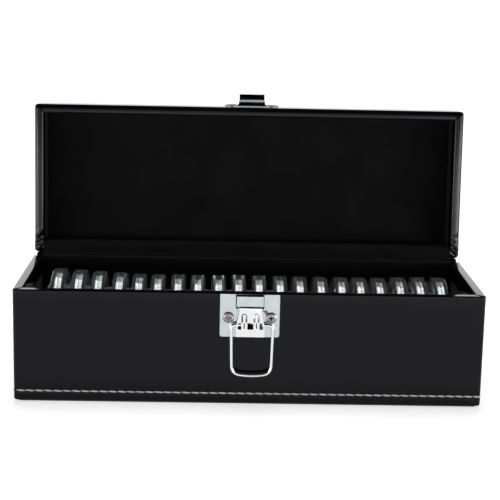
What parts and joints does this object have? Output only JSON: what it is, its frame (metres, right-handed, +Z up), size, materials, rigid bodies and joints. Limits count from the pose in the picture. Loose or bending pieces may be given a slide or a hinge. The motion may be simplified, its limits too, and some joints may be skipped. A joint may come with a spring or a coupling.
{
  "type": "coin capsule box",
  "caption": "Long hinged presentation box with a wire draw latch and round clear coin capsules standing on edge in a formed tray.",
  "frame": {"origin": "centre of the underside of the base, on the surface the box stands on", "axes": "+X along the box to its right end, +Y to the hinge at the back, +Z up; rest pose has the lid open and the latch hanging"},
  "size_m": [0.24, 0.1214, 0.1498],
  "materials": {
    "black_leather": "fine grain, slightly glossy",
    "black_lining": "matt",
    "board": "bare fibre board",
    "chrome": "polished",
    "clear_plastic": "clear, polished",
    "clear_sheet": "clear, formed"
  },
  "bodies": {
    "base": {"base_carcass": "board", "base_cover": "black_leather", "base_bottom_sheet": "black_leather", "base_lining": "black_lining", "latch_plate": "chrome", "latch_pin": "chrome", "latch_screw_left": "chrome", "latch_screw_right": "chrome", "hinge_leather": "black_leather", "hinge_lining": "black_lining"},
    "lid": {"lid_carcass": "board", "lid_cover": "black_leather", "lid_lining": "black_lining", "lid_pad": "black_lining", "hook_plate": "chrome", "hook_rivet_left": "chrome", "hook_rivet_right": "chrome"},
    "lever": {"latch_lever": "chrome"},
    "bail": {"wire_bail": "chrome"},
    "tray": {"capsule_tray": "clear_sheet"},
    "capsule_01": {"capsule_01_left_half": "clear_plastic", "capsule_01_right_half": "clear_plastic"},
    "capsule_02": {"capsule_02_left_half": "clear_plastic", "capsule_02_right_half": "clear_plastic"},
    "capsule_03": {"capsule_03_left_half": "clear_plastic", "capsule_03_right_half": "clear_plastic"},
    "capsule_04": {"capsule_04_left_half": "clear_plastic", "capsule_04_right_half": "clear_plastic"},
    "capsule_05": {"capsule_05_left_half": "clear_plastic", "capsule_05_right_half": "clear_plastic"},
    "capsule_06": {"capsule_06_left_half": "clear_plastic", "capsule_06_right_half": "clear_plastic"},
    "capsule_07": {"capsule_07_left_half": "clear_plastic", "capsule_07_right_half": "clear_plastic"},
    "capsule_08": {"capsule_08_left_half": "clear_plastic", "capsule_08_right_half": "clear_plastic"},
    "capsule_09": {"capsule_09_left_half": "clear_plastic", "capsule_09_right_half": "clear_plastic"},
    "capsule_10": {"capsule_10_left_half": "clear_plastic", "capsule_10_right_half": "clear_plastic"},
    "capsule_11": {"capsule_11_left_half": "clear_plastic", "capsule_11_right_half": "clear_plastic"},
    "capsule_12": {"capsule_12_left_half": "clear_plastic", "capsule_12_right_half": "clear_plastic"},
    "capsule_13": {"capsule_13_left_half": "clear_plastic", "capsule_13_right_half": "clear_plastic"},
    "capsule_14": {"capsule_14_left_half": "clear_plastic", "capsule_14_right_half": "clear_plastic"},
    "capsule_15": {"capsule_15_left_half": "clear_plastic", "capsule_15_right_half": "clear_plastic"},
    "capsule_16": {"capsule_16_left_half": "clear_plastic", "capsule_16_right_half": "clear_plastic"},
    "capsule_17": {"capsule_17_left_half": "clear_plastic", "capsule_17_right_half": "clear_plastic"},
    "capsule_18": {"capsule_18_left_half": "clear_plastic", "capsule_18_right_half": "clear_plastic"},
    "capsule_19": {"capsule_19_left_half": "clear_plastic", "capsule_19_right_half": "clear_plastic"},
    "capsule_20": {"capsule_20_left_half": "clear_plastic", "capsule_20_right_half": "clear_plastic"}
  },
  "joints": [
    {"name": "lid_hinge", "type": "hinge", "parent": "base", "child": "lid", "pos_m": [0, 0.0425, 0.0596], "axis": [1, 0, 0], "range_deg": [0, 94], "deforming": ["hinge_leather", "hinge_lining"]},
    {"name": "lever_hinge", "type": "hinge", "parent": "base", "child": "lever", "pos_m": [0, -0.04555, 0.0519], "axis": [1, 0, 0], "range_deg": [-100, 0]},
    {"name": "bail_hinge", "type": "hinge", "parent": "lever", "child": "bail", "pos_m": [0, -0.04485, 0.0434], "axis": [-1, 0, 0], "range_deg": [0, 180]},
    {"name": "tray_lift", "type": "slide", "parent": "base", "child": "tray", "axis": [0, 0, -1], "range_m": [-0.07, 0]},
    {"name": "capsule_01_lift", "type": "slide", "parent": "tray", "child": "capsule_01", "axis": [-0.0147, 0, -0.9999], "range_m": [-0.06, 0]},
    {"name": "capsule_02_lift", "type": "slide", "parent": "tray", "child": "capsule_02", "axis": [-0.0159, 0, -0.9999], "range_m": [-0.06, 0]},
    {"name": "capsule_03_lift", "type": "slide", "parent": "tray", "child": "capsule_03", "axis": [-0.0042, 0, -1], "range_m": [-0.06, 0]},
    {"name": "capsule_04_lift", "type": "slide", "parent": "tray", "child": "capsule_04", "axis": [-0.0188, 0, -0.9998], "range_m": [-0.06, 0]},
    {"name": "capsule_05_lift", "type": "slide", "parent": "tray", "child": "capsule_05", "axis": [-0.0042, 0, -1], "range_m": [-0.06, 0]},
    {"name": "capsule_06_lift", "type": "slide", "parent": "tray", "child": "capsule_06", "axis": [0.0251, 0, -0.9997], "range_m": [-0.06, 0]},
    {"name": "capsule_07_lift", "type": "slide", "parent": "tray", "child": "capsule_07", "axis": [0.0251, 0, -0.9997], "range_m": [-0.06, 0]},
    {"name": "capsule_08_lift", "type": "slide", "parent": "tray", "child": "capsule_08", "axis": [0.0335, 0, -0.9994], "range_m": [-0.06, 0]},
    {"name": "capsule_09_lift", "type": "slide", "parent": "tray", "child": "capsule_09", "axis": [0.0209, 0, -0.9998], "range_m": [-0.06, 0]},
    {"name": "capsule_10_lift", "type": "slide", "parent": "tray", "child": "capsule_10", "axis": [0.0168, 0, -0.9999], "range_m": [-0.06, 0]},
    {"name": "capsule_11_lift", "type": "slide", "parent": "tray", "child": "capsule_11", "axis": [0.0126, 0, -0.9999], "range_m": [-0.06, 0]},
    {"name": "capsule_12_lift", "type": "slide", "parent": "tray", "child": "capsule_12", "axis": [-0.0063, 0, -1], "range_m": [-0.06, 0]},
    {"name": "capsule_13_lift", "type": "slide", "parent": "tray", "child": "capsule_13", "axis": [-0.0042, 0, -1], "range_m": [-0.06, 0]},
    {"name": "capsule_14_lift", "type": "slide", "parent": "tray", "child": "capsule_14", "axis": [-0.0272, 0, -0.9996], "range_m": [-0.06, 0]},
    {"name": "capsule_15_lift", "type": "slide", "parent": "tray", "child": "capsule_15", "axis": [-0.0419, 0, -0.9991], "range_m": [-0.06, 0]},
    {"name": "capsule_16_lift", "type": "slide", "parent": "tray", "child": "capsule_16", "axis": [-0.0126, 0, -0.9999], "range_m": [-0.06, 0]},
    {"name": "capsule_17_lift", "type": "slide", "parent": "tray", "child": "capsule_17", "axis": [0.0042, 0, -1], "range_m": [-0.06, 0]},
    {"name": "capsule_18_lift", "type": "slide", "parent": "tray", "child": "capsule_18", "axis": [0, 0, -1], "range_m": [-0.06, 0]},
    {"name": "capsule_19_lift", "type": "slide", "parent": "tray", "child": "capsule_19", "axis": [0.0084, 0, -1], "range_m": [-0.06, 0]},
    {"name": "capsule_20_lift", "type": "slide", "parent": "tray", "child": "capsule_20", "axis": [-0.0084, 0, -1], "range_m": [-0.06, 0]}
  ]
}
